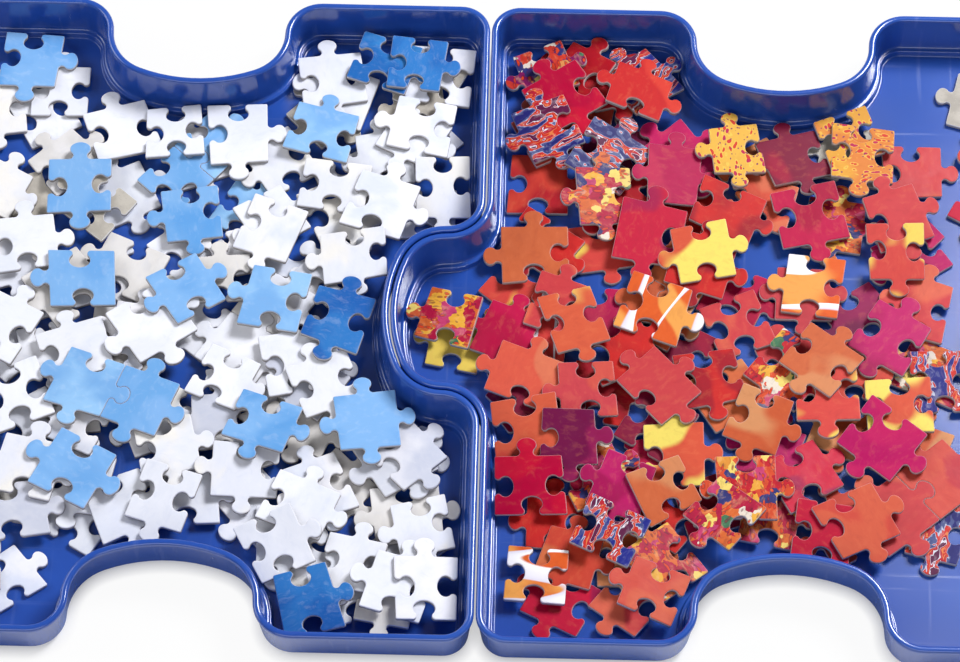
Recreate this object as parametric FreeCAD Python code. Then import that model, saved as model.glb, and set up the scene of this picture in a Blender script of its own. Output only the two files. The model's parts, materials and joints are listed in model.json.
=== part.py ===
import FreeCAD, Part
import math
import os
import random
from collections import namedtuple
from itertools import islice

# Jigsaw puzzle storage case: two sorting trays with the outline of a jigsaw
# piece, laid side by side so that the tab of the right tray sits in the socket
# of the left one, with the loose pieces that they hold.
# Millimetres. +X runs along both trays, +Y to the back, +Z up. The origin lies
# on the table, in the middle of the two trays.

# ---- trays: outline ---------------------------------------------------------
TRAY_WIDTH = 190.0          # along X, without the tab
TRAY_DEPTH = 225.0          # along Y
TRAY_HEIGHT = 18.5
CORNER_R = 9.5
SEAM_GAP = 0.5              # clearance between the two trays, all along the seam
SOCKET_HALF_WIDTH = 28.0
SOCKET_DEPTH = 29.5
SOCKET_ENTRY_R = 12.0       # rounding from the side of the tray into a socket
SOCKET_SIDE_R = 15.0        # rounding from the side of a socket into its bottom

# ---- trays: section of the wall, each inset measured in from the rim's edge --
RIM_WIDTH = 2.2
RIM_ROUND = 1.0
LIP_HEIGHT = 1.6            # the lip that stands out round the top of the wall
LIP_OVERHANG = 0.45
WALL_FOOT_INSET = 1.7       # outer face of the wall at its lower end
WALL_BASE_INSET = 3.45      # inner face of the wall where it meets the ledge
LEDGE_Z = 4.0
LEDGE_INNER_INSET = 5.1
STEP_INSET = 5.3            # foot of the step from the ledge down to the floor
SHOULDER_Z = 2.3            # underside that rests on the rim of a tray below
FOOT_INSET = 2.75           # outer face of the foot that fits inside that rim
FOOT_DRAFT = 0.1
FLOOR_THICK = 1.6
FLOOR_INSET = 6.0           # where the ring of the wall passes into the floor
WALL_FILLET = 1.0
SMALL_FILLET = 0.5
EDGE_ROUND = 0.3

# ---- loose jigsaw pieces ----------------------------------------------------
PIECE_THICK = 1.6
PIECE_SIDE = (17.0, 21.5)   # shortest and longest side
CORNER_SHIFT = 0.8          # how far a corner may stray from the square
PIECE_CORNER_R = 0.5
KNOB_HALF_WIDTH = 3.3
KNOB_DEPTH = 6.2
KNOB_NECK_R = 1.3
KNOB_SIDE_R = 2.0
KNOB_UNDERCUT = math.radians(47.0)
KNOB_STRAY = 0.6            # how far a knob may lie from the middle of its side
KNOB_FITS_SIDE = 20.0       # side that a knob of this size belongs to; others scale
CUT_GAP = 0.1               # clearance between two pieces that are joined
STRAIGHT_SIDE_CHANCE = 0.04

# ---- how the pieces lie -----------------------------------------------------
CELL = 0.5                  # grid on which the height of the pile is kept
SIDE_CLEARANCE = 0.25       # kept between pieces that lie side by side
TOP_CLEARANCE = 0.08        # kept between a piece and what it lies on
REST_INSET = 4.0            # a piece stays this far in from the rim's edge
LEDGE_REST = 0.25           # how high on the fillet above the ledge it may rest
STEEPEST = math.tan(math.radians(18.0))
PILE_TOP = 12.6             # no piece reaches higher than this
TRIES = 300                 # places looked at before a piece is laid
LOOKS = 10                  # of those, how many it is tried at

OVERALL_LENGTH = 2.0 * TRAY_WIDTH + SEAM_GAP + SOCKET_DEPTH
SEAM_X = SOCKET_DEPTH / 2.0
TRAY_X = {
    "left": SEAM_X - (TRAY_WIDTH + SEAM_GAP) / 2.0,
    "right": SEAM_X + (TRAY_WIDTH + SEAM_GAP) / 2.0,
}

Run = namedtuple("Run", "x y heading length")
Bend = namedtuple("Bend", "x y radius start turn")


# ---- paths of straight runs and tangent bends --------------------------------
def walk(x, y, heading, moves):
    """The path of the moves: a number is a run, a pair is a radius and a turn."""
    path = []
    for move in moves:
        if isinstance(move, float):
            path.append(Run(x, y, heading, move))
            x += move * math.cos(heading)
            y += move * math.sin(heading)
            continue
        radius, turn = move
        start = heading - math.copysign(math.pi / 2.0, turn)
        centre_x = x - radius * math.cos(start)
        centre_y = y - radius * math.sin(start)
        path.append(Bend(centre_x, centre_y, radius, start, turn))
        x = centre_x + radius * math.cos(start + turn)
        y = centre_y + radius * math.sin(start + turn)
        heading += turn
    return path


def inset_path(path, inset):
    """The same closed path, moved in (to the left) by the inset."""
    moved = []
    for part in path:
        if isinstance(part, Run):
            x = part.x - inset * math.sin(part.heading)
            y = part.y + inset * math.cos(part.heading)
            moved.append(part._replace(x=x, y=y))
        else:
            inwards = math.copysign(1.0, part.turn)
            moved.append(part._replace(radius=part.radius - inset * inwards))
    return moved


def bend_point(bend, share):
    angle = bend.start + share * bend.turn
    return (bend.x + bend.radius * math.cos(angle), bend.y + bend.radius * math.sin(angle))


def path_points(path, finest=math.radians(15.0)):
    """Corners of a polygon along the path."""
    points = []
    for part in path:
        if isinstance(part, Run):
            points.append((part.x, part.y))
            continue
        count = max(1, math.ceil(abs(part.turn) / finest))
        points += [bend_point(part, i / count) for i in range(count)]
    return points


def path_face(path, z):
    edges = []
    for part in path:
        if isinstance(part, Run):
            start = FreeCAD.Vector(part.x, part.y, z)
            along = FreeCAD.Vector(math.cos(part.heading), math.sin(part.heading), 0)
            edges.append(Part.LineSegment(start, start + along * part.length).toShape())
        else:
            ends = [FreeCAD.Vector(*bend_point(part, share), z) for share in (0.0, 0.5, 1.0)]
            edges.append(Part.Arc(*ends).toShape())
    return Part.Face(Part.Wire(edges))


def bump(half_width, depth, neck_r, side_r, undercut=0.0):
    """Moves over a rounded bump that stands out to the right, and its half span."""
    side_x = half_width - side_r
    side_y = neck_r + (neck_r + side_r) * math.sin(undercut)
    reach = depth - side_r
    crown_y = (reach ** 2 - side_x ** 2 - side_y ** 2) / (2.0 * (reach - side_y))
    crown_r = depth - crown_y
    lean = math.atan2(side_y - crown_y, side_x)
    neck = (neck_r, -(math.pi / 2.0 + undercut))
    side = (side_r, undercut + lean)
    crown = (crown_r, math.pi - 2.0 * lean)
    half_span = side_x + (neck_r + side_r) * math.cos(undercut)
    return [neck, side, crown, side, neck], half_span


def hollow(moves):
    """The same bump, cut in to the left."""
    return [(radius, -turn) for radius, turn in moves]


# ---- trays -------------------------------------------------------------------
def tray_path():
    """Outer edge of the rim, anticlockwise from the front left corner."""
    socket, half_span = bump(SOCKET_HALF_WIDTH, SOCKET_DEPTH, SOCKET_ENTRY_R, SOCKET_SIDE_R)
    tab, _ = bump(SOCKET_HALF_WIDTH - SEAM_GAP, SOCKET_DEPTH,
                  SOCKET_ENTRY_R + SEAM_GAP, SOCKET_SIDE_R - SEAM_GAP)
    corner = [(CORNER_R, math.pi / 2.0)]
    along_x = [TRAY_WIDTH / 2.0 - CORNER_R - half_span]
    along_y = [TRAY_DEPTH / 2.0 - CORNER_R - half_span]
    front = along_x + hollow(socket) + along_x + corner
    right = along_y + hollow(socket) + along_y + corner
    back = front
    left = along_y + tab + along_y + corner
    return walk(CORNER_R - TRAY_WIDTH / 2.0, -TRAY_DEPTH / 2.0, 0.0, front + right + back + left)


def rounded_face(corners):
    """A face in the plane X = 0 from corners (y, z, rounding)."""
    points = [FreeCAD.Vector(0, y, z) for y, z, _ in corners]
    ends = []
    edges = []
    for i, (_, _, radius) in enumerate(corners):
        point = points[i]
        before = (points[i - 1] - point).normalize()
        after = (points[(i + 1) % len(points)] - point).normalize()
        half = before.getAngle(after) / 2.0
        reach = radius / math.tan(half)
        ends.append((point + before * reach, point + after * reach))
        if radius > 0.0:
            to_centre = (before + after).normalize()
            middle = point + to_centre * (radius / math.sin(half) - radius)
            edges.append(Part.Arc(ends[i][0], middle, ends[i][1]).toShape())
    for i in range(len(ends)):
        edges.append(Part.LineSegment(ends[i - 1][1], ends[i][0]).toShape())
    return Part.Face(Part.Wire(Part.__sortEdges__(edges)))


def wall_section():
    """Section of foot, wall, rim and ledge: inset along Y, height along Z."""
    lip_z = TRAY_HEIGHT - LIP_HEIGHT
    return rounded_face([
        (FOOT_INSET + FOOT_DRAFT, 0.0, SMALL_FILLET),
        (FOOT_INSET, SHOULDER_Z, EDGE_ROUND),
        (WALL_FOOT_INSET, SHOULDER_Z, SMALL_FILLET),
        (LIP_OVERHANG, lip_z - LIP_OVERHANG, EDGE_ROUND),
        (0.0, lip_z, EDGE_ROUND),
        (0.0, TRAY_HEIGHT, RIM_ROUND),
        (RIM_WIDTH, TRAY_HEIGHT, RIM_ROUND),
        (WALL_BASE_INSET, LEDGE_Z, WALL_FILLET),
        (LEDGE_INNER_INSET, LEDGE_Z, SMALL_FILLET),
        (STEP_INSET, FLOOR_THICK, SMALL_FILLET),
        (FLOOR_INSET, FLOOR_THICK, 0.0),
        (FLOOR_INSET, 0.0, 0.0),
    ])


def swept(section, part):
    """The section carried along one run or bend of the path."""
    face = section.copy()
    if isinstance(part, Run):
        heading = part.heading
        start = (part.x, part.y)
    else:
        heading = part.start + math.copysign(math.pi / 2.0, part.turn)
        start = bend_point(part, 0.0)
    face.rotate(FreeCAD.Vector(0, 0, 0), FreeCAD.Vector(0, 0, 1), math.degrees(heading))
    face.translate(FreeCAD.Vector(*start, 0))
    if isinstance(part, Run):
        along = FreeCAD.Vector(math.cos(heading), math.sin(heading), 0)
        return face.extrude(along * part.length)
    centre = FreeCAD.Vector(part.x, part.y, 0)
    axis = FreeCAD.Vector(0, 0, math.copysign(1.0, part.turn))
    return face.revolve(centre, axis, math.degrees(abs(part.turn)))


def tray():
    """One moulded tray, centred on the middle of its body."""
    path = tray_path()
    section = wall_section()
    floor = path_face(inset_path(path, FLOOR_INSET), 0.0)
    floor = floor.extrude(FreeCAD.Vector(0, 0, FLOOR_THICK))
    ring = [swept(section, part) for part in path]
    return floor.multiFuse(ring).removeSplitter()


# ---- outlines of the jigsaw pieces --------------------------------------------
def knob(scale, gap=0.0):
    """A knob, or with a gap the hollow that such a knob fits in."""
    return bump(KNOB_HALF_WIDTH * scale + gap, KNOB_DEPTH * scale,
                KNOB_NECK_R * scale - gap, KNOB_SIDE_R * scale + gap, KNOB_UNDERCUT)


def side_moves(kind, length, trims, stray, scale):
    """Moves along one side of a piece: a knob, a hollow or a straight cut."""
    if kind == "straight":
        return [length - sum(trims)]
    if kind == "knob":
        moves, half_span = knob(scale)
    else:
        moves, half_span = knob(scale, CUT_GAP)
        moves = hollow(moves)
    run = length / 2.0 - half_span
    return [run + stray - trims[0]] + moves + [run - stray - trims[1]]


def piece_path(corners, sides):
    """Outline through four corners, anticlockwise; each side is (kind, stray, scale)."""
    headings = []
    lengths = []
    for (x0, y0), (x1, y1) in zip(corners, corners[1:] + corners[:1]):
        headings.append(math.atan2(y1 - y0, x1 - x0))
        lengths.append(math.hypot(x1 - x0, y1 - y0))
    turns = [(headings[i] - headings[i - 1]) % (2.0 * math.pi) for i in range(4)]
    trims = [PIECE_CORNER_R * math.tan(turn / 2.0) for turn in turns]
    moves = []
    for i, (kind, stray, scale) in enumerate(sides):
        after = (i + 1) % 4
        moves += side_moves(kind, lengths[i], (trims[i], trims[after]), stray, scale)
        moves.append((PIECE_CORNER_R, turns[after]))
    start_x = corners[0][0] + trims[0] * math.cos(headings[0])
    start_y = corners[0][1] + trims[0] * math.sin(headings[0])
    return walk(start_x, start_y, headings[0], moves)


def random_corners(chance, half_x, half_y):
    square = [(-half_x, -half_y), (half_x, -half_y), (half_x, half_y), (-half_x, half_y)]
    return [(x + chance.uniform(-CORNER_SHIFT, CORNER_SHIFT),
             y + chance.uniform(-CORNER_SHIFT, CORNER_SHIFT)) for x, y in square]


def random_sides(chance, scale):
    """Four sides of a piece, each (kind, stray, scale)."""
    sides = []
    for _ in range(4):
        kind = chance.choice(["knob", "hollow"])
        if chance.random() < STRAIGHT_SIDE_CHANCE:
            kind = "straight"
        sides.append((kind, chance.uniform(-KNOB_STRAY, KNOB_STRAY), scale))
    return sides


def half_sides(chance):
    return chance.uniform(*PIECE_SIDE) / 2.0, chance.uniform(*PIECE_SIDE) / 2.0


def single_piece(chance):
    half_x, half_y = half_sides(chance)
    scale = 2.0 * min(half_x, half_y) / KNOB_FITS_SIDE
    return [piece_path(random_corners(chance, half_x, half_y), random_sides(chance, scale))]


def joined_pair(chance):
    """Two pieces that were left joined, side by side."""
    half_x, half_y = half_sides(chance)
    scale = 2.0 * min(half_x, half_y) / KNOB_FITS_SIDE
    first = random_corners(chance, half_x, half_y)
    near = (first[1][0] + CUT_GAP, first[1][1])
    far = (first[2][0] + CUT_GAP, first[2][1])
    second = [near, (near[0] + 2.0 * half_x, near[1]), (far[0] + 2.0 * half_x, far[1]), far]
    first_sides = random_sides(chance, scale)
    second_sides = random_sides(chance, scale)
    stray = chance.uniform(-KNOB_STRAY, KNOB_STRAY)
    first_sides[1] = ("knob", stray, scale)
    second_sides[3] = ("hollow", -stray, scale)
    paths = [piece_path(first, first_sides), piece_path(second, second_sides)]
    return [moved_path(path, -near[0], 0.0, 0.0) for path in paths]


def moved_path(path, x, y, angle):
    """The path turned about the origin, then moved."""
    cos, sin = math.cos(angle), math.sin(angle)
    moved = []
    for part in path:
        new_x = x + part.x * cos - part.y * sin
        new_y = y + part.x * sin + part.y * cos
        if isinstance(part, Run):
            moved.append(Run(new_x, new_y, part.heading + angle, part.length))
        else:
            moved.append(Bend(new_x, new_y, part.radius, part.start + angle, part.turn))
    return moved


# ---- the pile: a grid of heights in each tray, and pieces laid down on it -------
GRID_X = -TRAY_WIDTH / 2.0 - SOCKET_DEPTH
GRID_Y = -TRAY_DEPTH / 2.0
COLUMNS = math.ceil((TRAY_WIDTH + SOCKET_DEPTH) / CELL)
ROWS = math.ceil(TRAY_DEPTH / CELL)
WALL = math.inf


def cells_inside(path):
    """Rows of grid cells with their centres inside the path: (row, first, last)."""
    points = path_points(path)
    sides = list(zip(points, points[1:] + points[:1]))
    lowest = min(y for _, y in points)
    highest = max(y for _, y in points)
    spans = []
    first_row = max(0, math.ceil((lowest - GRID_Y) / CELL - 0.5))
    last_row = min(ROWS - 1, math.floor((highest - GRID_Y) / CELL - 0.5))
    for row in range(first_row, last_row + 1):
        y = GRID_Y + (row + 0.5) * CELL
        crossings = sorted(x0 + (y - y0) * (x1 - x0) / (y1 - y0)
                           for (x0, y0), (x1, y1) in sides if (y0 <= y) != (y1 <= y))
        for enter, leave in zip(crossings[::2], crossings[1::2]):
            first = max(0, math.ceil((enter - GRID_X) / CELL - 0.5))
            last = min(COLUMNS - 1, math.floor((leave - GRID_X) / CELL - 0.5))
            if first <= last:
                spans.append((row, first, last))
    return spans


def cell_centre(row, column):
    return GRID_X + (column + 0.5) * CELL, GRID_Y + (row + 0.5) * CELL


def empty_heights():
    """Heights that a piece can rest on in an empty tray."""
    heights = [[WALL] * COLUMNS for _ in range(ROWS)]
    levels = [(REST_INSET, LEDGE_Z + LEDGE_REST),
              (STEP_INSET + SMALL_FILLET, FLOOR_THICK + TOP_CLEARANCE)]
    for inset, level in levels:
        for row, first, last in cells_inside(inset_path(tray_path(), inset)):
            heights[row][first:last + 1] = [level] * (last + 1 - first)
    return heights


def plane_through(points):
    """The plane z = level + slope_x x + slope_y y through three points, or None."""
    (x0, y0, z0), (x1, y1, z1), (x2, y2, z2) = points
    area = (x1 - x0) * (y2 - y0) - (x2 - x0) * (y1 - y0)
    if abs(area) < CELL * CELL:
        return None
    slope_x = ((z1 - z0) * (y2 - y0) - (z2 - z0) * (y1 - y0)) / area
    slope_y = ((x1 - x0) * (z2 - z0) - (x2 - x0) * (z1 - z0)) / area
    return z0 - slope_x * x0 - slope_y * y0, slope_x, slope_y


def holds_origin(points):
    """Whether the triangle of the points has the origin inside."""
    senses = [a[0] * b[1] - a[1] * b[0] for a, b in zip(points, points[1:] + points[:1])]
    return min(senses) >= 0.0 or max(senses) <= 0.0


def resting_plane(points):
    """The lowest plane over all points, carried by three of them about the origin."""
    directions = [math.radians(angle) for angle in (90.0, 210.0, 330.0)]
    feet = [max(points, key=lambda p, a=a: p[0] * math.cos(a) + p[1] * math.sin(a))
            for a in directions]
    plane = plane_through(feet)
    while plane:
        level, slope_x, slope_y = plane
        highest = max(points, key=lambda p: p[2] - slope_x * p[0] - slope_y * p[1])
        if highest[2] - slope_x * highest[0] - slope_y * highest[1] - level < 1e-6:
            break
        trials = [feet[:i] + [highest] + feet[i + 1:] for i in range(3)]
        trials = [trial for trial in trials if holds_origin(trial) and plane_through(trial)]
        if not trials:
            return None
        feet = trials[0]
        plane = plane_through(feet)
    return plane


Laid = namedtuple("Laid", "path centre plane")
Resting = namedtuple("Resting", "laid cells tops")


def rest(heights, paths):
    """How joined pieces would come to rest; None where they would not lie well."""
    spans = [span for path in paths for span in cells_inside(inset_path(path, -SIDE_CLEARANCE))]
    if any(WALL in heights[row][first:last + 1] for row, first, last in spans):
        return None
    cells = [(row, column) for row, first, last in spans for column in range(first, last + 1)]
    centres = [cell_centre(row, column) for row, column in cells]
    middle_x = sum(x for x, _ in centres) / len(centres)
    middle_y = sum(y for _, y in centres) / len(centres)
    points = [(x - middle_x, y - middle_y, heights[row][column])
              for (x, y), (row, column) in zip(centres, cells)]
    plane = resting_plane(points)
    if plane is None:
        return None
    level, slope_x, slope_y = plane
    slope = math.hypot(slope_x, slope_y)
    thick = PIECE_THICK * math.hypot(1.0, slope) + TOP_CLEARANCE
    tops = [level + slope_x * x + slope_y * y + thick for x, y, _ in points]
    if slope > STEEPEST or max(tops) > PILE_TOP:
        return None
    return Resting([Laid(path, (middle_x, middle_y), plane) for path in paths], cells, tops)


def settle(heights, resting):
    """Raise the heights under the pieces to their upper sides."""
    for (row, column), top in zip(resting.cells, resting.tops):
        heights[row][column] = max(heights[row][column], top)
    return resting.laid


def piece_solid(laid, tray_x):
    """The solid of a piece as it lies in its tray."""
    level, slope_x, slope_y = laid.plane
    solid = path_face(laid.path, 0.0).extrude(FreeCAD.Vector(0, 0, PIECE_THICK))
    centre = FreeCAD.Vector(*laid.centre, 0)
    slope = math.hypot(slope_x, slope_y)
    if slope > 0.0:
        axis = FreeCAD.Vector(slope_y, -slope_x, 0)
        solid.rotate(centre, axis, math.degrees(math.atan(slope)))
    solid.translate(FreeCAD.Vector(tray_x, 0, level))
    return solid


# ---- what lies in each tray -----------------------------------------------------
# How often each sort of piece lies under the rest: white and grey sky pieces on
# the left, warm ones on the right.
FILL = {
    "left": {"white": 50, "pale_grey": 24, "grey_back": 7, "light_blue": 4},
    "right": {"red": 9, "crimson": 9, "coral": 12, "orange": 7, "magenta": 8,
              "yellow": 3, "striped": 3, "mixed": 4, "white": 1, "grey_back": 2},
}
PAIR_CHANCE = 0.05

# Pieces that lie on top: sort, place in the tray and turn in degrees. A sort
# that ends in "_pair" is two pieces still joined. A piece is left out where the
# pile is too high or too steep for it.
ON_TOP = {
    "left": [
        ("white", -24, 67, 8),
        ("white", -8, 68, -8),
        ("white", 14, 69, 3),
        ("white", 40, 90, 20),
        ("white", 84, 92, -5),
        ("white", 71, 69, -14),
        ("white", 82, 51, 14),
        ("white", 46, 50, 5),
        ("white", 66, 42, -30),
        ("white", 28, 35, -6),
        ("white", 57, 27, 20),
        ("white", -52, 26, 20),
        ("white", -57, -4, -15),
        ("white", -33, -12, 30),
        ("white", -10, -3, 26),
        ("white", 14, -20, -12),
        ("white", 34, -14, 0),
        ("white", 46, -23, 35),
        ("white", -48, -28, 10),
        ("white", 1, -45, 25),
        ("white", -2, -62, -5),
        ("white", -45, -50, 0),
        ("white", 19, -56, 12),
        ("white", 40, -64, -8),
        ("white", 29, -77, 14),
        ("white", 57, -80, -25),
        ("pale_grey", 72, -46, 32),
        ("white", 77, -70, 13),
        ("white", 68, -91, -28),
        ("white", 80, -92, 14),
        ("mid_blue", 57, 95, -4),
        ("mid_blue", 71, 94, 6),
        ("light_blue", 41, 64, -12),
        ("light_blue", -39, 45, 15),
        ("light_blue", -32, 12, 4),
        ("light_blue", 0, 10, 35),
        ("light_blue", 26, 7, 0),
        ("mid_blue", 50, -1, -30),
        ("mid_blue", 56, 9, 40),
        ("light_blue_pair", -19, -27, -8),
        ("light_blue", 60, -36, 10),
        ("light_blue", 55, -51, -8),
        ("light_blue", -27, -54, -14),
        ("mid_blue", 46, -94, 4),
        ("light_blue", 60, -91, 12),
    ],
    "right": [
        ("crimson", -92, -1, 80),
        ("mixed", -110, 3, -4),
        ("striped", -40, 92, 25),
        ("red", -66, 98, -20),
        ("mixed", -80, 99, 8),
        ("crimson", -71, 84, 20),
        ("red", -52, 86, -6),
        ("striped", -81, 72, 10),
        ("yellow", -42, 76, -12),
        ("striped", -60, 66, -18),
        ("mixed", -61, 51, 5),
        ("magenta", -38, 59, -15),
        ("crimson", 4, 65, 30),
        ("spotted", -15, 66, -5),
        ("spotted", 19, 75, 8),
        ("spotted", 26, 63, -5),
        ("crimson", 12, 47, 2),
        ("red", -16, 46, -10),
        ("crimson", -46, 38, 2),
        ("coral", 33, 46, 32),
        ("yellow", 36, 30, -10),
        ("orange", -83, 31, 5),
        ("red", -26, 25, -15),
        ("white", 9, 18, 4),
        ("coral", -18, 8, 35),
        ("coral", -72, 8, -15),
        ("yellow", -63, -2, 30),
        ("white", -41, 9, -6),
        ("magenta", 33, 5, -20),
        ("red", -24, -16, 25),
        ("mixed", -4, -12, 40),
        ("yellow", 13, -22, 15),
        ("yellow", 36, -21, 4),
        ("orange", 11, -8, -25),
        ("coral", -82, -15, -32),
        ("coral", -62, -17, 5),
        ("coral", -84, -33, 20),
        ("magenta", -65, -36, 12),
        ("magenta", 26, -36, -25),
        ("crimson", 9, -49, 20),
        ("crimson", -81, -53, 3),
        ("yellow", -35, -43, -10),
        ("magenta", -55, -51, -20),
        ("orange", -38, -56, 28),
        ("mixed", -12, -55, -10),
        ("mixed", -22, -67, 38),
        ("crimson", 6, -69, 70),
        ("coral", 21, -65, 16),
        ("mixed", -38, -75, 40),
        ("striped", -57, -71, -35),
        ("coral", -42, -90, -20),
        ("white", -78, -87, 8),
        ("coral", -57, -97, -4),
        ("white", -51, -92, -30),
    ],
}

# Pieces on top of all others, picked up one at a time: name, sort, place, turn.
PICKED_UP = {
    "left": [
        ("left_loose_piece_back", "light_blue", 1, 38, -3),
        ("left_loose_piece_front", "light_blue", 27, -36, -20),
        ("left_loose_piece_corner", "white", 74, 66, -10),
    ],
    "right": [
        ("right_loose_piece_middle", "coral", -43, -16, -34),
        ("right_loose_piece_front", "orange", -8, -35, -20),
        ("right_loose_piece_back", "yellow", -26, 27, 12),
    ],
}
SEEDS = {"left": 11, "right": 23}
NUDGE = 1.3                 # step by which a piece is moved to find a lower place
NUDGES = 4                  # steps taken at most
NUDGE_COST = 0.25           # a step has to bring the piece down by more than this
SWING = math.radians(12.0)  # turn that is tried to either side
SWAPS = 10                  # pieces tried at a place that the first does not fit
WHITE_ZONE = 35.0           # white pieces further than this from the middle are
                            # grouped as those at the back and at the front


def make_piece(chance, sort):
    if sort.endswith("_pair"):
        return joined_pair(chance)
    return single_piece(chance)


def ring(x, y, radius, count=8):
    """Places in a ring about a place."""
    for i in range(count):
        angle = i * 2.0 * math.pi / count
        yield x + radius * math.cos(angle), y + radius * math.sin(angle)


def height_at(heights, x, y):
    row = math.floor((y - GRID_Y) / CELL)
    column = math.floor((x - GRID_X) / CELL)
    if 0 <= row < ROWS and 0 <= column < COLUMNS:
        return heights[row][column]
    return WALL


def lowest_places(chance, heights):
    """Random places in a tray, the lowest and flattest first."""
    reach = PIECE_SIDE[0] / 2.0
    places = []
    for _ in range(TRIES):
        x, y = cell_centre(chance.randrange(ROWS), chance.randrange(COLUMNS))
        inner = [height_at(heights, *place) for place in ring(x, y, reach)]
        outer = [height_at(heights, *place) for place in ring(x, y, reach + KNOB_DEPTH / 2.0)]
        if WALL not in inner + outer:
            places.append((max(inner), sum(inner), x, y))
    return [(x, y) for _, _, x, y in sorted(places)]


def rests_at(heights, outlines, places, angle):
    """Every way that the outlines come to rest at the places, in their order."""
    for x, y in places:
        resting = rest(heights, [moved_path(path, x, y, angle) for path in outlines])
        if resting:
            yield resting


def lay_near(heights, outlines, x, y, angle):
    """Lay the outlines near a place, where they lie lowest."""
    choices = []
    for reach in range(NUDGES + 1):
        places = list(ring(x, y, reach * NUDGE)) if reach else [(x, y)]
        for turn in (-SWING, 0.0, SWING):
            for resting in rests_at(heights, outlines, places, angle + turn):
                choices.append((max(resting.tops) + reach * NUDGE_COST, len(choices), resting))
    return settle(heights, min(choices)[2]) if choices else []


def lay_on_top(heights, chance, sort, x, y, angle):
    """Lay a piece at its place; one that does not fit there is swapped for another."""
    laid = []
    for _ in range(SWAPS):
        laid = laid or lay_near(heights, make_piece(chance, sort), x, y, angle)
    return laid


def lay_low(heights, outlines, chance):
    """Lay the outlines at the lowest of a few random places."""
    angle = chance.uniform(0.0, 2.0 * math.pi)
    found = rests_at(heights, outlines, lowest_places(chance, heights), angle)
    choices = sorted(islice(found, LOOKS), key=lambda resting: max(resting.tops))
    return settle(heights, choices[0]) if choices else []


def zoned(sort, centre):
    """White pieces are many, so they are grouped by where they lie."""
    if sort != "white":
        return sort
    if centre[1] > WHITE_ZONE:
        return "white_back"
    if centre[1] < -WHITE_ZONE:
        return "white_front"
    return "white_middle"


def fill_tray(side):
    """Lay the pieces of one tray; gives the solids of each node."""
    chance = random.Random(SEEDS[side])
    heights = empty_heights()
    nodes = {}

    def keep(node, laid):
        solids = [piece_solid(piece, TRAY_X[side]) for piece in laid]
        nodes.setdefault(node, []).extend(solids)

    def keep_group(sort, laid):
        if laid:
            group = zoned(sort, laid[0].centre) if side == "left" else sort
            keep(f"{side}_{group}_pieces", laid)

    sorts = [sort for sort, count in FILL[side].items() for _ in range(count)]
    chance.shuffle(sorts)
    for sort in sorts:
        shape = sort + "_pair" if chance.random() < PAIR_CHANCE else sort
        keep_group(sort, lay_low(heights, make_piece(chance, shape), chance))
    for sort, x, y, turn in ON_TOP[side]:
        laid = lay_on_top(heights, chance, sort, x, y, math.radians(turn))
        keep_group(sort.removesuffix("_pair"), laid)
    for node, sort, x, y, turn in PICKED_UP[side]:
        keep(node, lay_on_top(heights, chance, sort, x, y, math.radians(turn)))
    return nodes


def export(node, solids):
    shape = solids[0] if len(solids) == 1 else Part.makeCompound(solids)
    shape.exportStep(f"parts/{node}.step")


def main():
    os.makedirs("parts", exist_ok=True)
    empty_tray = tray()
    for side in ("left", "right"):
        placed = empty_tray.copy()
        placed.translate(FreeCAD.Vector(TRAY_X[side], 0, 0))
        export(f"{side}_tray", [placed])
        for node, solids in fill_tray(side).items():
            export(node, solids)
            print(node, len(solids))
    print("overall length", OVERALL_LENGTH)


main()
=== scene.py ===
import json
import math
import random

import bmesh
import bpy
from mathutils import Matrix, Vector
from mathutils.geometry import delaunay_2d_cdt


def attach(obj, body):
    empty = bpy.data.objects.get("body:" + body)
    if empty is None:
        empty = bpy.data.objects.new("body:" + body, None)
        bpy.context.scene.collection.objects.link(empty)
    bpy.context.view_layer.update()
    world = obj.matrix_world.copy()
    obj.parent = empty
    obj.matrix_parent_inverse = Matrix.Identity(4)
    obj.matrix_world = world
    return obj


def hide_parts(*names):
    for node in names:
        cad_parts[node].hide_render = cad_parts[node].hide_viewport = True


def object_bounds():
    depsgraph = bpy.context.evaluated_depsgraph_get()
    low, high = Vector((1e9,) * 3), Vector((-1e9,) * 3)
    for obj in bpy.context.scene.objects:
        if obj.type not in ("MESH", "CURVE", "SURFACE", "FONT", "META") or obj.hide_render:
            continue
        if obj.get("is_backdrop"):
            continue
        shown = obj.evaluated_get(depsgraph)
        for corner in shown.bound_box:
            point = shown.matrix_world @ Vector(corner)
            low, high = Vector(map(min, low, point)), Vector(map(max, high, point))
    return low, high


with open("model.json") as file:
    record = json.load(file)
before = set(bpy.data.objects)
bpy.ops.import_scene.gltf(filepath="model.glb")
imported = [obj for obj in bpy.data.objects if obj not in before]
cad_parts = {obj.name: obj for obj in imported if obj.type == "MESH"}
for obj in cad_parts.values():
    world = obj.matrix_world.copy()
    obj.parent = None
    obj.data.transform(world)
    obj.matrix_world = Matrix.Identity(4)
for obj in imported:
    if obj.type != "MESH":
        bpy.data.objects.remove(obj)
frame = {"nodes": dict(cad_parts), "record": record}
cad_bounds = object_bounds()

# Two glossy blue sorting trays with the loose jigsaw pieces that they hold.
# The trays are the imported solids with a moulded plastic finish. Each jigsaw
# piece is rebuilt from the outline of its solid, with the edges that die
# cutting leaves, and printed with a picture of its own.
#
# Lengths are in metres, except that the edge rings of a jigsaw piece, the grid
# on its flat sides and the places in its print are in millimetres.

MM = 0.001
WHITE = (1.0, 1.0, 1.0, 1.0)

# ---- camera ---------------------------------------------------------------------
IMAGE_WIDTH = 960
SEAM_X = 14.75 * MM                 # where the two trays meet, on the table
AZIMUTH = math.radians(1.45)
ELEVATION = math.radians(62.65)
DISTANCE = 1198.7 * MM
FOCAL_PIXELS = 3765.0
AIM_LEFT_PIXELS = 3.2               # the seam lies this far right of the image's middle
AIM_UP_PIXELS = 5.9                 # and this far below it
SENSOR_MM = 36.0
NEAR, FAR = 0.05, 20.0

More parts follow.
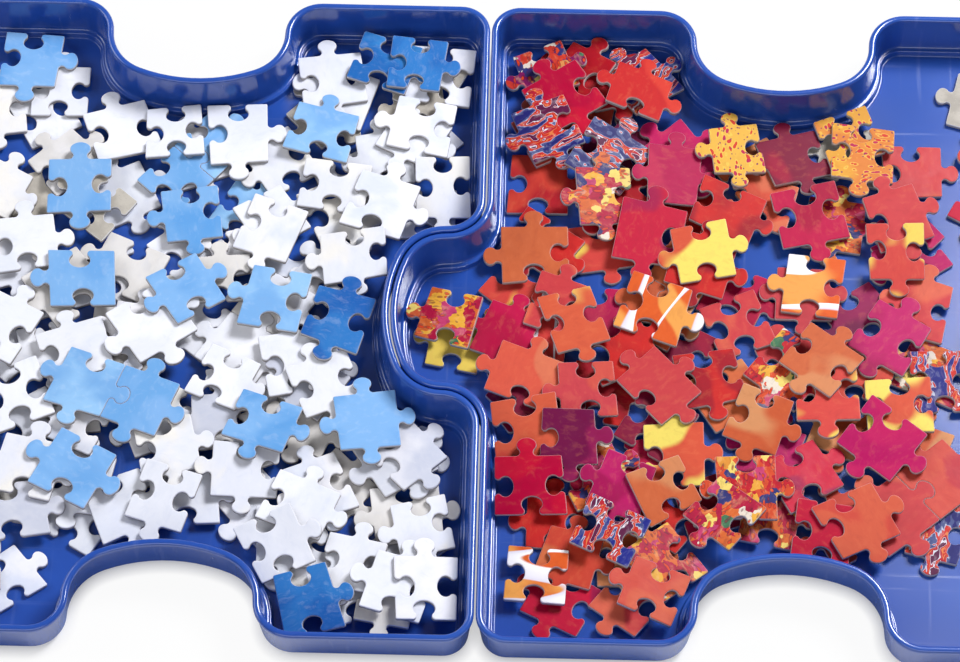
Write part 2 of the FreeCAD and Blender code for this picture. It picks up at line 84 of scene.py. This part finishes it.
# ---- table, lights and room -----------------------------------------------------
TABLE_SIZE = 6.0
TABLE_TONES = (0.84, 0.84, 0.85, 1.0), (0.87, 0.87, 0.88, 1.0)
TABLE_WHITE = 0.94                  # share of pure white where the camera sees the table
TABLE_PAINTED_SHADE_IN_GLOSS = (0.34, 0.40, 0.52, 1.0)    # its tone in gloss, close to the trays: a painted shade
FOOT_SHADE = 4.5 * MM               # reach of the dark line at a tray's foot: real shadow plus shade painted by openness
BAY_SHADE = 60.0 * MM               # how close to the trays the mirrored table is dim, a painted shade
BAY_OPEN = 0.50, 0.68               # openness over which it turns from painted dim to white
SHADE_SAMPLES = 8
LIGHT_DISTANCE = 1.3
SOFT_BOXES = [                      # name, watts, width and height, azimuth, elevation
    ("key", 18.0, (0.44, 0.44), 42.0, 50.0),
    ("window", 6.5, (1.1, 0.7), 160.0, 34.0),
    ("front", 5.0, (1.3, 0.7), -95.0, 38.0),
]
ROOM_COLOUR = (0.96, 0.98, 1.0, 1.0)
ROOM_STRENGTH = 0.11

# ---- jigsaw pieces --------------------------------------------------------------
WELD = 0.001 * MM
OUTLINE_TOLERANCE = 0.012 * MM
SAME_WAY = 0.9995                   # cosine between normals of one flat face
LOOKS_UP = 0.5                      # least Z of the normal of a side that faces up
SHARPEST = 0.5                      # limits how far an inset runs out at a sharp corner
# From the printed side to the back: inset and depth of each ring of the edge,
# and how far the fold has rubbed its print down to the paper, from 0 to 1.
EDGE_RINGS = [
    (0.42, 0.000, 0.0),
    (0.25, 0.025, 0.45),
    (0.12, 0.080, 0.8),
    (0.05, 0.165, 1.0),
    (0.01, 0.300, 1.0),
    (0.00, 0.460, 1.0),
    (0.00, 1.440, 1.0),
    (0.04, 1.550, 1.0),
    (0.14, 1.600, 1.0),
]
THICKNESS = EDGE_RINGS[-1][1]
PRINT_RINGS = 4                     # the print is folded down over this many steps
FLAT_STEP = 3.0                     # grid of points on the flat sides
FLAT_REACH = 22.0                   # how far it reaches from the middle of a piece
INSIDE_ONLY = 1                     # of the fill: triangles inside the outline
FILL_TOLERANCE = 1e-5
PRINTED, CUT, BACK = range(3)       # slots of the materials of a piece

# ---- how the prints differ from piece to piece ----------------------------------
PRINT_TURNS = (0.0, 0.5, 1.0, 1.5)  # in half turns
PRINT_SPREAD = 900.0                # the part of a picture that pieces are cut from
LAYER_SPREAD = 90.0                 # how deep in the pattern they are cut
BRIGHTNESS = 0.94, 1.04
PALEST = 0.95
RUBBED_BARE = 0.38                  # share of bare paper where the fold is sharpest


# ---- node graphs ----------------------------------------------------------------
class Graph:
    """The nodes of a material or world, with short calls to add them."""

    def __init__(self, owner, output="ShaderNodeOutputMaterial"):
        self.owner = owner
        owner.use_nodes = True
        self.tree = owner.node_tree
        self.tree.nodes.clear()
        self.output = self.tree.nodes.new(output)

    def add(self, kind, inputs=None, **settings):
        node = self.tree.nodes.new(kind)
        for name, value in settings.items():
            setattr(node, name, value)
        for key, value in (inputs or {}).items():
            self.put(node.inputs[key], value)
        return node

    def put(self, socket, value):
        if isinstance(value, bpy.types.NodeSocket):
            self.tree.links.new(value, socket)
        else:
            socket.default_value = value

    def calc(self, operation, *values):
        inputs = dict(enumerate(values))
        return self.add("ShaderNodeMath", inputs, operation=operation).outputs[0]

    def vector_calc(self, operation, inputs):
        return self.add("ShaderNodeVectorMath", inputs, operation=operation).outputs[0]

    def fit(self, value, low, high, to_low=0.0, to_high=1.0):
        """The value carried from one range to another, smoothly and clamped."""
        inputs = {"Value": value, "From Min": low, "From Max": high,
                  "To Min": to_low, "To Max": to_high}
        node = self.add("ShaderNodeMapRange", inputs, interpolation_type="SMOOTHSTEP")
        return node.outputs["Result"]

    def mix(self, share, a, b):
        """One colour, with a share of another over it."""
        node = self.add("ShaderNodeMix", {0: share, 6: a, 7: b}, data_type="RGBA")
        return node.outputs[2]

    def attribute(self, name, output="Vector"):
        return self.add("ShaderNodeAttribute", attribute_name=name).outputs[output]

    def object_place(self):
        return self.add("ShaderNodeTexCoord").outputs["Object"]

    def stretched(self, vector, x, y, z=1.0, degrees=0.0):
        """The place scaled along its axes, and turned about Z."""
        inputs = {"Vector": vector, "Scale": (x, y, z),
                  "Rotation": (0, 0, math.radians(degrees))}
        return self.add("ShaderNodeMapping", inputs).outputs["Vector"]

    def noise(self, vector, scale=1.0, detail=2.0, roughness=0.5, distortion=0.0):
        inputs = {"Vector": vector, "Scale": scale, "Detail": detail,
                  "Roughness": roughness, "Distortion": distortion}
        return self.add("ShaderNodeTexNoise", inputs).outputs["Fac"]

    def cells(self, vector, scale=1.0):
        """Irregular cells: how far it is to the middle of one, and its random number."""
        inputs = {"Vector": vector, "Scale": scale, "Randomness": 1.0}
        cells = self.add("ShaderNodeTexVoronoi", inputs)
        number = self.add("ShaderNodeSeparateColor", {0: cells.outputs["Color"]}).outputs[0]
        return cells.outputs["Distance"], number

    def bump(self, height, distance, strength=1.0, normal=None):
        inputs = {"Height": height, "Distance": distance, "Strength": strength}
        if normal:
            inputs["Normal"] = normal
        return self.add("ShaderNodeBump", inputs).outputs["Normal"]

    def openness(self, reach):
        """How open a place is: 1 where nothing stands within the reach."""
        inputs = {"Distance": reach}
        node = self.add("ShaderNodeAmbientOcclusion", inputs, samples=SHADE_SAMPLES)
        return node.outputs["AO"]

    def finish(self, shader):
        self.tree.links.new(shader.outputs[0], self.output.inputs["Surface"])
        return self.owner


def new_material(name):
    return Graph(bpy.data.materials.new(name))


def linear(code):
    """Linear colour of a hex code such as "8fbeed"."""
    values = [int(code[i:i + 2], 16) / 255.0 for i in (0, 2, 4)]
    return tuple(v / 12.92 if v <= 0.04045 else ((v + 0.055) / 1.055) ** 2.4
                 for v in values) + (1.0,)


# ---- moulded plastic of the trays -----------------------------------------------
def tray_plastic():
    """Glossy royal blue polystyrene: faint flow waves and fine rubbing marks."""
    g = new_material("moulded_blue_plastic")
    place = g.object_place()
    waves = g.noise(place, scale=28.0, roughness=0.4)
    grain = g.noise(place, scale=900.0)
    streaks = g.noise(g.stretched(place, 18.0, 420.0, 60.0, degrees=24.0), detail=3.0)
    rubs = g.noise(g.stretched(place, 380.0, 14.0, 60.0, degrees=-11.0), detail=3.0)
    rubbed = g.fit(g.calc("MAXIMUM", streaks, rubs), 0.60, 0.78)
    dull = g.noise(place, scale=9.0, detail=3.0, roughness=0.6)
    roughness = g.calc("MULTIPLY_ADD", rubbed, 0.10, g.fit(dull, 0.35, 0.7, 0.15, 0.21))
    tone = g.noise(place, scale=14.0, detail=3.0, roughness=0.55)
    colour = g.mix(g.fit(tone, 0.3, 0.7), linear("244da9"), linear("2a56b4"))
    colour = g.mix(g.calc("MULTIPLY", rubbed, 0.08), colour, linear("8fa6da"))
    normal = g.bump(waves, 0.2 * MM, strength=0.5)
    normal = g.bump(grain, 0.004 * MM, strength=0.6, normal=normal)
    shader = g.add("ShaderNodeBsdfPrincipled", {
        "Base Color": colour, "Roughness": roughness, "Normal": normal,
        "IOR": 1.57, "Specular IOR Level": 0.8})
    return g.finish(shader)


# ---- pictures on the pieces: a colour for each place in the print ---------------
def warped(g, place, scale, amount):
    """The place, pushed about by a slow noise so that straight patterns bend."""
    push = g.add("ShaderNodeTexNoise", {"Vector": place, "Scale": scale, "Detail": 2.0})
    centred = g.vector_calc("SUBTRACT", {0: push.outputs["Color"], 1: (0.5, 0.5, 0.5)})
    scaled = g.vector_calc("SCALE", {0: centred, "Scale": amount})
    return g.vector_calc("ADD", {0: place, 1: scaled})


def brushed(g, place, colour, light, dark, amount):
    """Soft strokes of a brush that lighten and darken a colour a little."""
    bent = warped(g, place, 0.10, 7.0)
    strokes = g.noise(g.stretched(bent, 0.20, 0.42, degrees=35.0), detail=4.0, roughness=0.6)
    colour = g.mix(g.calc("MULTIPLY", g.fit(strokes, 0.5, 0.72), amount), colour, light)
    return g.mix(g.calc("MULTIPLY", g.fit(strokes, 0.5, 0.28), amount), colour, dark)


def dabs(g, place, degrees, length, width, size):
    """Long dabs of paint: 1 in their middle, 1 in their edge, and a number for each."""
    bent = warped(g, place, 0.09, 6.0)
    reach, number = g.cells(g.stretched(bent, 1.0 / length, 1.0 / width, degrees=degrees))
    core = g.fit(reach, size + 0.04, size - 0.04)
    edge = g.fit(reach, size + 0.14, size + 0.08)
    return core, edge, number


def in_steps(g, value, colour, steps, softness):
    """The colour, with each step's own laid over it from the step's value on."""
    for start, code in steps:
        colour = g.mix(g.fit(value, start, start + softness), colour, linear(code))
    return colour


def sky_picture(g, place, ground, second):
    """Soft clouds of two near tones."""
    clouds = g.noise(place, scale=0.055, detail=3.0, distortion=0.4)
    colour = g.mix(g.fit(clouds, 0.42, 0.66), ground, second)
    return brushed(g, place, colour, WHITE, linear("8fa3cc"), 0.09)


def petal_picture(g, place, ground, second):
    """Two warm colours that meet along a curving edge."""
    swirl = g.noise(place, scale=0.045, detail=1.0, roughness=0.4, distortion=0.5)
    colour = g.mix(g.fit(swirl, 0.50, 0.57), ground, second)
    return brushed(g, place, colour, linear("e88a5a"), linear("7c0c24"), 0.12)


def spotted_picture(g, place, ground, second):
    """Red dabs with a yellow edge, and small dark dots, on a petal's ground."""
    colour = petal_picture(g, place, ground, second)
    core, edge, number = dabs(g, place, 65.0, length=3.6, width=1.9, size=0.32)
    paint = g.mix(g.fit(number, 0.48, 0.52), linear("c8382a"), linear("b4204e"))
    colour = g.mix(g.calc("MULTIPLY", edge, 0.5), colour, linear("e8ca58"))
    colour = g.mix(core, colour, paint)
    dots = dabs(g, place, 10.0, length=1.7, width=1.5, size=0.20)[0]
    return g.mix(dots, colour, linear("7c3258"))


def striped_picture(g, place, ground, second):
    """Bands of dusk, white and red side by side, as strokes of a flat brush."""
    bent = warped(g, place, 0.09, 5.0)
    bands = g.noise(g.stretched(bent, 0.045, 0.26, degrees=28.0), detail=2.5)
    colour = g.mix(g.fit(bands, 0.42, 0.43), ground, second)
    steps = ((0.47, "b9bdd2"), (0.485, "c4281e"), (0.535, "dc7c44"),
             (0.55, "b01a2c"), (0.59, "dcdce8"), (0.605, "5a1440"))
    colour = in_steps(g, bands, colour, steps, 0.006)
    return brushed(g, place, colour, linear("dfe2f0"), linear("180c3c"), 0.2)


def mixed_picture(g, place, ground, second):
    """Small patches of many colours, as in a close view of a bed of flowers."""
    number = g.cells(warped(g, place, 0.30, 5.0), scale=0.24)[1]
    colour = g.mix(g.fit(number, 0.30, 0.31), ground, second)
    steps = ((0.56, "e2a63a"), (0.67, "c03c6c"), (0.76, "e8cc6c"),
             (0.82, "2c3270"), (0.92, "e0d4c6"), (0.97, "3f7152"))
    colour = in_steps(g, number, colour, steps, 0.01)
    core, edge, _ = dabs(g, place, 30.0, length=5.0, width=1.7, size=0.26)
    colour = g.mix(g.calc("MULTIPLY", edge, 0.6), colour, linear("5c1430"))
    colour = g.mix(core, colour, linear("d2401e"))
    return brushed(g, place, colour, linear("f4c890"), linear("4a0c26"), 0.3)


def ribbon_picture(g, place, ground, second):
    """A warm ground that a white ribbon crosses."""
    colour = petal_picture(g, place, ground, second)
    band = g.noise(g.stretched(place, 0.02, 0.07, degrees=20.0),
                   detail=1.0, roughness=0.4, distortion=0.6)
    inside = g.calc("MULTIPLY", g.fit(band, 0.47, 0.485), g.fit(band, 0.56, 0.545))
    shade = g.mix(g.fit(band, 0.45, 0.60), WHITE, linear("cfc6de"))
    return g.mix(inside, colour, shade)


# ---- paper, board and print -----------------------------------------------------
def fibres(g, place, distance):
    """Fine relief of paper laid on board."""
    fine = g.noise(place, scale=3.2, detail=3.0, roughness=0.6)
    broad = g.noise(place, scale=0.35)
    height = g.calc("MULTIPLY_ADD", broad, 1.5, fine)
    return g.bump(height, distance, strength=0.5)


def printed_paper(name, picture):
    """A picture on thin paper, rubbed paler where the paper folds over the edge."""
    g = new_material(name)
    place = g.attribute("place")
    colour = picture(g, place, g.attribute("ground", "Color"), g.attribute("second", "Color"))
    bare = g.fit(g.attribute("fold", "Fac"), 0.5, 1.0, 0.0, RUBBED_BARE)
    colour = g.mix(bare, colour, linear("e4dfe2"))
    gloss = g.noise(place, scale=0.22, detail=3.0, roughness=0.6)
    shader = g.add("ShaderNodeBsdfPrincipled", {
        "Base Color": colour, "Roughness": g.fit(gloss, 0.3, 0.7, 0.36, 0.48),
        "Normal": fibres(g, place, 0.02 * MM), "IOR": 1.46,
        "Specular IOR Level": 0.18})
    return g.finish(shader)


def cut_board():
    """Cut side of the board: pressed layers, paler at the upper side."""
    g = new_material("cut_board_edge")
    place = g.attribute("place")
    depth = g.attribute("depth", "Fac")
    layers = g.add("ShaderNodeCombineXYZ", {"X": g.calc("MULTIPLY", depth, 14.0)})
    along = g.vector_calc("ADD", {0: layers.outputs[0], 1: g.stretched(place, 0.1, 0.1)})
    ply = g.noise(along, detail=3.0, roughness=0.6)
    board = g.mix(g.fit(ply, 0.35, 0.65), linear("8b8789"), linear("b3afae"))
    colour = g.mix(g.fit(depth, 0.30, 0.42), linear("dddcdf"), board)
    shader = g.add("ShaderNodeBsdfPrincipled", {
        "Base Color": colour, "Roughness": 0.85,
        "Normal": g.bump(ply, 0.06 * MM, strength=0.7)})
    return g.finish(shader)


def grey_board():
    """Bare grey back of a piece, flecked with fibres."""
    g = new_material("grey_board_back")
    place = g.attribute("place")
    flecks = g.noise(g.stretched(place, 0.9, 3.4, degrees=22.918), detail=4.0, roughness=0.65)
    cloud = g.noise(place, scale=0.18, detail=3.0)
    colour = g.mix(g.fit(cloud, 0.35, 0.65), linear("a9a39b"), linear("bdb7ae"))
    colour = g.mix(g.fit(flecks, 0.62, 0.74), colour, linear("7d776f"))
    colour = g.mix(g.fit(flecks, 0.36, 0.28), colour, linear("dcd7cf"))
    shader = g.add("ShaderNodeBsdfPrincipled", {
        "Base Color": colour, "Roughness": 0.9, "Normal": fibres(g, place, 0.05 * MM)})
    return g.finish(shader)


# The picture of each sort of piece, and the pairs of ground and second colour
# that its pieces are drawn in.
SORTS = {
    "white": (sky_picture, [("e8eaf4", "dee2f0"), ("e4e7f3", "eceef8"),
                            ("ececf4", "d8def0"), ("e2e5f2", "edeae6")]),
    "pale_grey": (sky_picture, [("d0d3e0", "dfe2ec"), ("c6cadb", "dadbe6"),
                                ("d6d3d2", "e2e0e2")]),
    "grey_back": (sky_picture, [("eef0f8", "d8dff0")]),
    "light_blue": (sky_picture, [("80b2e8", "6ca4e0"), ("78ace4", "94c2ee"),
                                 ("6ca4de", "80b0e6"), ("7eb0e6", "5e9cdc")]),
    "mid_blue": (sky_picture, [("1f66b4", "3482c8"), ("2f76c0", "1c5cab")]),
    "red": (petal_picture, [("c01a1c", "cc3426"), ("c4201e", "9c0c20"),
                            ("a81422", "c43a2c")]),
    "crimson": (petal_picture, [("b00036", "c00c34"), ("a8003a", "b80444"),
                                ("bc0434", "9c0444"), ("7a0a34", "960a34")]),
    "coral": (petal_picture, [("c84638", "cc583e"), ("c23a40", "d05e48"),
                              ("bc3a44", "c84c42"), ("cc503c", "d06c4e")]),
    "orange": (petal_picture, [("c46038", "cc8256"), ("c6663e", "bc3c2a"),
                               ("c25834", "d08e60")]),
    "magenta": (petal_picture, [("b00a5a", "bc185c"), ("b41260", "a00450"),
                                ("ac084a", "b8244e"), ("6e1044", "8c1850")]),
    "yellow": (petal_picture, [("e8d262", "cc4e34"), ("d0583a", "ead66e"),
                               ("c83e38", "e4c658")]),
    "spotted": (spotted_picture, [("d89a38", "d07a36"), ("daa844", "ce8236")]),
    "striped": (striped_picture, [("1c2482", "3a4480"), ("181e78", "3c327c"),
                                  ("22226a", "4a5486")]),
    "mixed": (mixed_picture, [("d04a28", "b81828"), ("d0642e", "ac143c"),
                              ("c43628", "7c1458")]),
}
WHITE_AMONG_THE_WARM = (ribbon_picture, [("d85a20", "e69c4c"), ("cc3634", "de7436")])


# ---- outline of a piece, read from its solid ------------------------------------
def separate_solids(bm):
    """Groups of faces, one for each solid of a mesh."""
    seen = set()
    for first in bm.faces:
        if first.index in seen:
            continue
        seen.add(first.index)
        group = [first]
        for face in group:
            for edge in face.edges:
                for other in edge.link_faces:
                    if other.index not in seen:
                        seen.add(other.index)
                        group.append(other)
        yield group


def upper_normal(faces):
    """Normal of the flat side that faces up."""
    areas = {}
    for face in faces:
        if face.normal.z > LOOKS_UP:
            key = tuple(round(c, 2) for c in face.normal)
            areas.setdefault(key, Vector())
            areas[key] += face.normal * face.calc_area()
    return max(areas.values(), key=lambda total: total.length).normalized()


def upper_outline(faces, normal):
    """Corners of the flat upper side, in their order round it."""
    flat = {face.index for face in faces if face.normal.dot(normal) > SAME_WAY}
    following = {}
    for face in faces:
        if face.index not in flat:
            continue
        for loop in face.loops:
            if not any(f.index in flat for f in loop.edge.link_faces if f is not face):
                following[loop.vert.index] = loop
    start = min(following)
    points = []
    at = start
    while not points or at != start:
        loop = following[at]
        points.append(loop.vert.co.copy())
        at = loop.link_loop_next.vert.index
    return points


def off_chord(point, first, chord):
    """How far a point lies from the chord that starts at the first point."""
    arm = point - first
    if chord.length == 0.0:
        return arm.length
    return abs(arm.x * chord.y - arm.y * chord.x) / chord.length


def simplified(points, tolerance):
    """The run of points without those that lie within the tolerance of a chord."""
    if len(points) < 3:
        return points
    first, last = points[0], points[-1]
    offs = [off_chord(point, first, last - first) for point in points[1:-1]]
    if max(offs) <= tolerance:
        return [first, last]
    far = 1 + offs.index(max(offs))
    ahead = simplified(points[:far + 1], tolerance)
    return ahead[:-1] + simplified(points[far:], tolerance)


def flat_outline(points, to_own):
    """The outline in the plane of the piece, with no more corners than it needs."""
    flat = [(to_own @ point).to_2d() for point in points]
    half = len(flat) // 2
    ahead = simplified(flat[:half + 1], OUTLINE_TOLERANCE)
    back = simplified(flat[half:] + flat[:1], OUTLINE_TOLERANCE)
    return ahead[:-1] + back[:-1]


def own_frame(points, normal):
    """Matrix from the place of a piece to its own plane: X along its longest side."""
    middle = sum(points, Vector()) / len(points)
    steps = [b - a for a, b in zip(points, points[1:] + points[:1])]
    along = max(steps, key=lambda step: step.length)
    along = (along - normal * along.dot(normal)).normalized()
    across = normal.cross(along)
    turn = Matrix((along, across, normal)).to_4x4()
    return turn @ Matrix.Translation(-middle)


def solid_outlines(node):
    """Outline and frame of each piece of a CAD node, in an order that their places give."""
    bm = bmesh.new()
    bm.from_mesh(node.data)
    bmesh.ops.remove_doubles(bm, verts=bm.verts, dist=WELD)
    bm.faces.index_update()
    bm.verts.index_update()
    found = []
    for faces in separate_solids(bm):
        normal = upper_normal(faces)
        points = upper_outline(faces, normal)
        to_own = own_frame(points, normal)
        to_world = to_own.inverted()
        middle = to_world.translation
        key = (round(middle.x / MM, 1), round(middle.y / MM, 1))
        found.append((key, flat_outline(points, to_own), to_world))
    bm.free()
    return sorted(found, key=lambda item: item[0])


# ---- shape of a piece -----------------------------------------------------------
def inset_ring(outline, inset):
    """The outline moved in by the inset, point by point."""
    ring = []
    count = len(outline)
    for i, point in enumerate(outline):
        before = (point - outline[i - 1]).normalized()
        after = (outline[(i + 1) % count] - point).normalized()
        normal = Vector((-(before.y + after.y), before.x + after.x)).normalized()
        lean = max(SHARPEST, normal.dot(Vector((-before.y, before.x))))
        ring.append(point + normal * (inset / lean))
    return ring


def edge_rings(outline, face_down):
    """The rings of a piece's edge from its upper side down: points, depth and fold."""
    rings = [(inset_ring(outline, inset * MM), depth, fold)
             for inset, depth, fold in EDGE_RINGS]
    if face_down:
        rings = [(ring, THICKNESS - depth, fold) for ring, depth, fold in reversed(rings)]
    return rings


def flat_side(ring):
    """Triangles that fill a flat side: inner points beside those of its edge, and corners."""
    count = len(ring)
    edge = [point / MM for point in ring]
    last = math.ceil(FLAT_REACH / FLAT_STEP)
    steps = [i * FLAT_STEP for i in range(-last, last + 1)]
    grid = [Vector((x, y)) for x in steps for y in steps]
    grid = [point for point in grid if min((point - e).length for e in edge) > FLAT_STEP / 2.0]
    outline = list(range(count))
    filled = delaunay_2d_cdt(edge + grid, [], [outline], INSIDE_ONLY, FILL_TOLERANCE)
    points, triangles, origins = filled[0], filled[2], filled[3]
    used = sorted({i for triangle in triangles for i in triangle})
    number = {}
    inner = []
    for i in used:
        on_edge = [origin for origin in origins[i] if origin < count]
        if on_edge:
            number[i] = on_edge[0]
        else:
            number[i] = count + len(inner)
            inner.append(points[i] * MM)
    return inner, [[number[i] for i in triangle] for triangle in triangles]


class Print:
    """Where one piece lies in its picture, and its two colours."""

    def __init__(self, chance, colours):
        self.turn = Matrix.Rotation(chance.choice(PRINT_TURNS) * math.pi, 2)
        self.shift = Vector((chance.uniform(0.0, PRINT_SPREAD),
                             chance.uniform(0.0, PRINT_SPREAD)))
        self.layer = chance.uniform(0.0, LAYER_SPREAD)
        ground, self.second = (linear(code) for code in chance.choice(colours))
        bright = chance.uniform(*BRIGHTNESS)
        self.ground = tuple(min(PALEST, bright * c) for c in ground[:3]) + (1.0,)

    def place(self, point):
        on_print = self.turn @ (point / MM) + self.shift
        return on_print.x, on_print.y, self.layer


class PieceMesh:
    """The mesh of all the pieces of one node, with what their print needs."""

    def __init__(self, face_down):
        self.face_down = face_down
        self.points = []
        self.faces = []
        self.materials = []
        self.place = []
        self.ground = []
        self.second = []
        self.fold = []
        self.depth = []

    def put(self, points, depth, fold, to_world, look):
        """Adds points at one depth of a piece and returns the number of the first."""
        first = len(self.points)
        for point in points:
            self.points.append(to_world @ Vector((point.x, point.y, -depth * MM)))
            self.place.append(look.place(point))
        self.fold += [fold] * len(points)
        self.depth += [depth / THICKNESS] * len(points)
        self.ground += [look.ground] * len(points)
        self.second += [look.second] * len(points)
        return first

    def band(self, upper, lower, count, material):
        """Faces between two rings, given by their first points."""
        for i in range(count):
            j = (i + 1) % count
            self.faces.append([upper + i, lower + i, lower + j, upper + j])
            self.materials.append(material)

    def add(self, outline, to_world, look):
        """Adds one piece: its rings, its two flat sides, and the bands between the rings."""
        rings = edge_rings(outline, self.face_down)
        count = len(outline)
        firsts = [self.put(ring, depth, fold, to_world, look) for ring, depth, fold in rings]

        top, bottom = (BACK, PRINTED) if self.face_down else (PRINTED, BACK)
        for k, upwards, material in ((0, True, top), (-1, False, bottom)):
            ring, depth, _ = rings[k]
            inner, triangles = flat_side(ring)
            first_inner = self.put(inner, depth, 0.0, to_world, look)
            numbers = list(range(firsts[k], firsts[k] + count))
            numbers += range(first_inner, first_inner + len(inner))
            for triangle in triangles:
                corners = [numbers[i] for i in triangle]
                self.faces.append(corners if upwards else corners[::-1])
                self.materials.append(material)

        bands = list(zip(firsts, firsts[1:]))
        for k, (upper, lower) in enumerate(bands):
            from_print = len(bands) - 1 - k if self.face_down else k
            self.band(upper, lower, count, PRINTED if from_print < PRINT_RINGS else CUT)

    def build(self, name, materials):
        """The mesh as an object, with its materials and what the prints read from it."""
        mesh = bpy.data.meshes.new(name)
        mesh.from_pydata(self.points, [], self.faces)
        for material in materials:
            mesh.materials.append(material)
        mesh.polygons.foreach_set("material_index", self.materials)
        smooth = [len(face) == 4 for face in self.faces]
        mesh.polygons.foreach_set("use_smooth", smooth)
        for key, kind, field, values in (
                ("place", "FLOAT_VECTOR", "vector", self.place),
                ("ground", "FLOAT_COLOR", "color", self.ground),
                ("second", "FLOAT_COLOR", "color", self.second)):
            flat = [c for value in values for c in value]
            mesh.attributes.new(key, kind, "POINT").data.foreach_set(field, flat)
        for key, values in (("fold", self.fold), ("depth", self.depth)):
            mesh.attributes.new(key, "FLOAT", "POINT").data.foreach_set("value", values)
        mesh.update()
        piece = bpy.data.objects.new(name, mesh)
        bpy.context.scene.collection.objects.link(piece)
        return piece


# ---- the object, dressed --------------------------------------------------------
def rebuild(name, slot, body, cut, back, prints):
    """The detailed pieces that stand for one CAD node."""
    sort = slot.removeprefix("piece_")
    picture, colours = SORTS[sort]
    if sort == "white" and name.startswith("right"):
        picture, colours = WHITE_AMONG_THE_WARM
    if picture not in prints:
        prints[picture] = printed_paper(picture.__name__.replace("picture", "print"), picture)
    mesh = PieceMesh(sort == "grey_back")
    for key, outline, to_world in solid_outlines(frame["nodes"][name]):
        chance = random.Random(f"{name} {key}")
        mesh.add(outline, to_world, Print(chance, colours))
    piece = mesh.build(name.replace("_piece", "_printed_piece"), [prints[picture], cut, back])
    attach(piece, body)
    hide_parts(name)


def dress():
    """The trays get their plastic, and every node of jigsaw pieces its rebuilt pieces."""
    slots = {part["node"]: part["material_slot"] for part in frame["record"]["subparts"]}
    bodies = {node: body for body, nodes in frame["record"]["behaviour"]["bodies"].items()
              for node in nodes}
    plastic = tray_plastic()
    cut = cut_board()
    back = grey_board()
    prints = {}
    for name, slot in slots.items():
        if name.endswith("_tray"):
            frame["nodes"][name].material_slots[0].material = plastic
        else:
            rebuild(name, slot, bodies[name], cut, back, prints)


# ---- table, light and camera ----------------------------------------------------
def table():
    """A pale table that the camera sees as white but for the shade at the trays' foot, partly
    real shadow and partly painted from openness; in gloss it shows a painted dim tone near the
    trays.
    """
    bpy.ops.mesh.primitive_plane_add(size=TABLE_SIZE, location=(0, 0, 0))
    plane = bpy.context.object
    plane.name = "table"
    g = new_material("white_table")
    rays = g.add("ShaderNodeLightPath").outputs
    cloud = g.noise(g.object_place(), scale=3.0)
    tone = g.mix(g.fit(cloud, 0.3, 0.7), *TABLE_TONES)
    # Painted shade: glossy rays see the table in a dim bluish tone.
    tone = g.mix(rays["Is Glossy Ray"], tone, TABLE_PAINTED_SHADE_IN_GLOSS)
    plain = g.add("ShaderNodeBsdfPrincipled", {"Base Color": tone, "Roughness": 0.7})
    white = g.add("ShaderNodeEmission", {"Color": WHITE, "Strength": 1.0})
    seen = g.calc("MAXIMUM", rays["Is Camera Ray"], rays["Is Transmission Ray"])
    # Painted shade: the white fades by openness at the trays' foot, over the real shadow of
    # the plain table.
    at_foot = g.calc("MULTIPLY", g.openness(FOOT_SHADE), TABLE_WHITE)
    # Painted shade in reflection: close to the trays the mirrored table stays dim.
    in_bay = g.fit(g.openness(BAY_SHADE), *BAY_OPEN)
    direct = g.calc("MULTIPLY", seen, at_foot)
    mirrored = g.calc("MULTIPLY", rays["Is Glossy Ray"], in_bay)
    share = g.calc("MAXIMUM", direct, mirrored)
    mixed = g.add("ShaderNodeMixShader", {0: share, 1: plain.outputs[0], 2: white.outputs[0]})
    plane.data.materials.append(g.finish(mixed))
    plane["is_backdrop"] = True


def soft_box(name, power, size, azimuth, elevation):
    """A lamp that faces the middle of the object. Azimuth runs from +X to +Y."""
    data = bpy.data.lights.new(name, "AREA")
    data.shape = "RECTANGLE"
    data.size, data.size_y = size
    data.energy = power
    lamp = bpy.data.objects.new(name, data)
    a, e = math.radians(azimuth), math.radians(elevation)
    towards = Vector((math.cos(a) * math.cos(e), math.sin(a) * math.cos(e), math.sin(e)))
    lamp.location = towards * LIGHT_DISTANCE
    lamp.rotation_mode = "QUATERNION"
    lamp.rotation_quaternion = towards.to_track_quat("Z", "Y")
    bpy.context.scene.collection.objects.link(lamp)


def room():
    """The soft boxes, and a dim room that the camera sees as white."""
    for soft in SOFT_BOXES:
        soft_box(*soft)
    g = Graph(bpy.data.worlds.new("room"), "ShaderNodeOutputWorld")
    dim = g.add("ShaderNodeBackground", {"Color": ROOM_COLOUR, "Strength": ROOM_STRENGTH})
    white = g.add("ShaderNodeBackground", {"Color": WHITE})
    seen = g.add("ShaderNodeLightPath").outputs["Is Camera Ray"]
    mixed = g.add("ShaderNodeMixShader", {0: seen, 1: dim.outputs[0], 2: white.outputs[0]})
    bpy.context.scene.world = g.finish(mixed)
    bpy.context.scene.view_settings.view_transform = "Standard"


def camera():
    """The photo's camera, a little to the right of the seam and high in front."""
    data = bpy.data.cameras.new("camera")
    data.sensor_width = SENSOR_MM
    data.lens = FOCAL_PIXELS * SENSOR_MM / IMAGE_WIDTH
    data.clip_start, data.clip_end = NEAR, FAR
    back = Vector((math.sin(AZIMUTH) * math.cos(ELEVATION),
                   -math.cos(AZIMUTH) * math.cos(ELEVATION), math.sin(ELEVATION)))
    right = Vector((math.cos(AZIMUTH), math.sin(AZIMUTH), 0))
    up = back.cross(right)
    aim = Vector((SEAM_X, 0, 0))
    aim += (up * AIM_UP_PIXELS - right * AIM_LEFT_PIXELS) * DISTANCE / FOCAL_PIXELS
    eye = bpy.data.objects.new("camera", data)
    turn = Matrix((right, up, back)).transposed().to_4x4()
    eye.matrix_world = Matrix.Translation(aim + back * DISTANCE) @ turn
    bpy.context.scene.collection.objects.link(eye)
    bpy.context.scene.camera = eye


dress()
table()
room()
camera()

bpy.context.view_layer.update()
boxes = {"cad": cad_bounds, "visual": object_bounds()}
{name: [list(corner) for corner in box] for name, box in boxes.items()}
